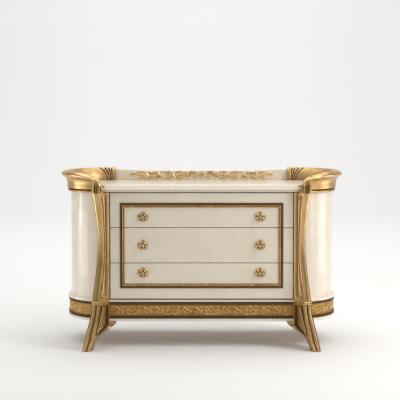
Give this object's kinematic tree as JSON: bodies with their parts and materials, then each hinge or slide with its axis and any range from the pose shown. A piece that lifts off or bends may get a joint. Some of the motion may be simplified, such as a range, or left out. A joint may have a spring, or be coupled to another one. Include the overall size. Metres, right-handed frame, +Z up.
{
  "type": "chest of drawers",
  "caption": "Lacquered chest of drawers with half-round ends, gilded sabre legs and posts, a gilded rim round each end and a carved gallery.",
  "frame": {"origin": "on the floor, at the bottom centre of the chest's box", "axes": "+X along the front to its right as seen from the front, +Y from the front to the back, +Z up; the drawers open towards -Y"},
  "size_m": [1.4516, 0.6014, 0.8825],
  "materials": {
    "ivory_lacquer": "ivory lacquer over veneer, polished, with a faint marbled figure",
    "gilding": "carved wood, antique gold leaf, darkened in the hollows",
    "frame_gilding": "gold bead inside a dark brown fillet",
    "dark_stain": "dark brown stain, satin",
    "back_paint": "matt cream paint on the unseen side",
    "carcass_wood": "bare poplar and multiply board",
    "drawer_wood": "clear-varnished drawer wood",
    "knob_brass": "cast brass, gilded, darkened in the hollows",
    "screw_steel": "zinc-plated steel",
    "runner_steel": "bright zinc-plated rolled steel",
    "glide_plastic": "moulded brown nylon"
  },
  "bodies": {
    "cabinet": {"top_board": "ivory_lacquer", "gallery_board": "ivory_lacquer", "gallery_applique": "gilding", "rim_left": "gilding", "rim_right": "gilding", "scroll_cap_left": "gilding", "scroll_cap_right": "gilding", "carcass_floor": "carcass_wood", "partition_left": "carcass_wood", "partition_right": "carcass_wood", "top_stretchers": "carcass_wood", "back_panel": "back_paint", "curved_side_left": "ivory_lacquer", "curved_side_right": "ivory_lacquer", "end_formers": "carcass_wood", "plinth_cornice": "ivory_lacquer", "plinth_frame": "back_paint", "plinth_frieze": "gilding", "plinth_beads": "dark_stain", "plinth_foot_moulding": "ivory_lacquer", "end_skirtings": "ivory_lacquer", "front_post_left": "gilding", "front_post_right": "gilding", "front_foot_left": "gilding", "front_foot_right": "gilding", "post_collars": "gilding", "rear_leg_left": "gilding", "rear_leg_right": "gilding", "foot_glides": "glide_plastic", "runner_channels": "runner_steel"},
    "bottom_drawer": {"bottom_drawer_front": "ivory_lacquer", "bottom_drawer_side_left": "drawer_wood", "bottom_drawer_side_right": "drawer_wood", "bottom_drawer_back": "drawer_wood", "bottom_drawer_bottom": "drawer_wood", "bottom_frame_moulding": "frame_gilding", "bottom_knobs": "knob_brass", "bottom_knob_screws": "screw_steel", "bottom_runner_rails": "runner_steel"},
    "bottom_rail_stage": {"bottom_middle_rails": "runner_steel"},
    "middle_drawer": {"middle_drawer_front": "ivory_lacquer", "middle_drawer_side_left": "drawer_wood", "middle_drawer_side_right": "drawer_wood", "middle_drawer_back": "drawer_wood", "middle_drawer_bottom": "drawer_wood", "middle_frame_moulding": "frame_gilding", "middle_knobs": "knob_brass", "middle_knob_screws": "screw_steel", "middle_runner_rails": "runner_steel"},
    "middle_rail_stage": {"middle_middle_rails": "runner_steel"},
    "top_drawer": {"top_drawer_front": "ivory_lacquer", "top_drawer_side_left": "drawer_wood", "top_drawer_side_right": "drawer_wood", "top_drawer_back": "drawer_wood", "top_drawer_bottom": "drawer_wood", "top_frame_moulding": "frame_gilding", "top_knobs": "knob_brass", "top_knob_screws": "screw_steel", "top_runner_rails": "runner_steel"},
    "top_rail_stage": {"top_middle_rails": "runner_steel"}
  },
  "joints": [
    {"name": "bottom_drawer_slide", "type": "slide", "parent": "cabinet", "child": "bottom_drawer", "axis": [0, -1, 0], "range_m": [0, 0.33]},
    {"name": "bottom_rail_slide", "type": "slide", "parent": "cabinet", "child": "bottom_rail_stage", "axis": [0, -1, 0], "range_m": [0, 0.165]},
    {"name": "middle_drawer_slide", "type": "slide", "parent": "cabinet", "child": "middle_drawer", "axis": [0, -1, 0], "range_m": [0, 0.33]},
    {"name": "middle_rail_slide", "type": "slide", "parent": "cabinet", "child": "middle_rail_stage", "axis": [0, -1, 0], "range_m": [0, 0.165]},
    {"name": "top_drawer_slide", "type": "slide", "parent": "cabinet", "child": "top_drawer", "axis": [0, -1, 0], "range_m": [0, 0.33]},
    {"name": "top_rail_slide", "type": "slide", "parent": "cabinet", "child": "top_rail_stage", "axis": [0, -1, 0], "range_m": [0, 0.165]}
  ],
  "couplings": [
    {"joint": "bottom_rail_slide", "follows": "bottom_drawer_slide", "ratio": 0.5},
    {"joint": "middle_rail_slide", "follows": "middle_drawer_slide", "ratio": 0.5},
    {"joint": "top_rail_slide", "follows": "top_drawer_slide", "ratio": 0.5}
  ]
}
